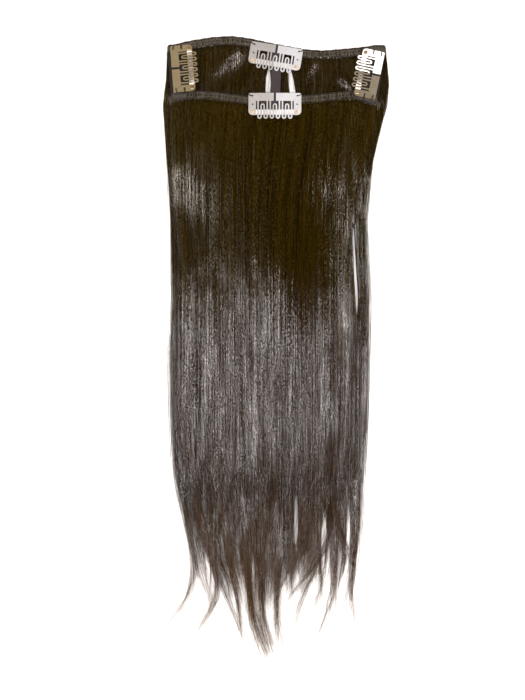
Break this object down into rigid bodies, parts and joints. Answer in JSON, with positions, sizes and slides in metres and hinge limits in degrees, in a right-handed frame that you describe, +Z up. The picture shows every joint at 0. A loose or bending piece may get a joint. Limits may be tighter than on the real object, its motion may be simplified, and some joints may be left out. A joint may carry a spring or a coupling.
{
  "type": "clip in hair extension",
  "caption": "Straight dark hair in a long and a short layer sewn to wavy wefts, joined by ribbon straps, with sprung metal snap clips along the top.",
  "frame": {"origin": "middle of the foot of the piece's bounding box, on the surface that it lies on", "axes": "+Y from the hair tips to the wefts, +X to the right as the picture shows it, +Z up"},
  "size_m": [0.1408, 0.3844, 0.0163],
  "materials": {
    "hair": "straight strands with a soft sheen",
    "weft": "stitched weft tape",
    "ribbon": "ribbed ribbon",
    "clip_steel": "satin nickel",
    "rivet": "turned"
  },
  "bodies": {
    "root": {"upper_hair": "hair", "lower_hair": "hair", "upper_weft_track": "weft", "lower_weft_track": "weft", "left_strap": "ribbon", "centre_strap": "ribbon", "right_strap": "ribbon", "upper_clip_bridge": "clip_steel", "upper_clip_left_cheek": "clip_steel", "upper_clip_left_rivet": "rivet", "upper_clip_right_cheek": "clip_steel", "upper_clip_right_rivet": "rivet", "lower_clip_bridge": "clip_steel", "lower_clip_left_cheek": "clip_steel", "lower_clip_left_rivet": "rivet", "lower_clip_right_cheek": "clip_steel", "lower_clip_right_rivet": "rivet", "left_clip_bridge": "clip_steel", "left_clip_left_cheek": "clip_steel", "left_clip_left_rivet": "rivet", "left_clip_right_cheek": "clip_steel", "left_clip_right_rivet": "rivet", "right_clip_bridge": "clip_steel", "right_clip_left_cheek": "clip_steel", "right_clip_left_rivet": "rivet", "right_clip_right_cheek": "clip_steel", "right_clip_right_rivet": "rivet"},
    "upper_comb": {"upper_clip_comb": "clip_steel"},
    "lower_comb": {"lower_clip_comb": "clip_steel"},
    "left_comb": {"left_clip_comb": "clip_steel"},
    "right_comb": {"right_clip_comb": "clip_steel"}
  },
  "joints": [
    {"name": "upper_comb_snap", "type": "hinge", "parent": "root", "child": "upper_comb", "pos_m": [0.00099, 0.18607, 0.0049], "axis": [-0.9869, 0.1616, 0], "range_deg": [0, 35]},
    {"name": "lower_comb_snap", "type": "hinge", "parent": "root", "child": "lower_comb", "pos_m": [-0.00051, 0.15641, 0.00898], "axis": [-1, 0, 0], "range_deg": [0, 35]},
    {"name": "left_comb_snap", "type": "hinge", "parent": "root", "child": "left_comb", "pos_m": [-0.06285, 0.17038, 0.01037], "axis": [0.0874, -0.9356, 0.342], "range_deg": [0, 35]},
    {"name": "right_comb_snap", "type": "hinge", "parent": "root", "child": "right_comb", "pos_m": [0.06309, 0.16647, 0.00931], "axis": [0.2069, 0.9387, -0.2756], "range_deg": [0, 35]}
  ]
}
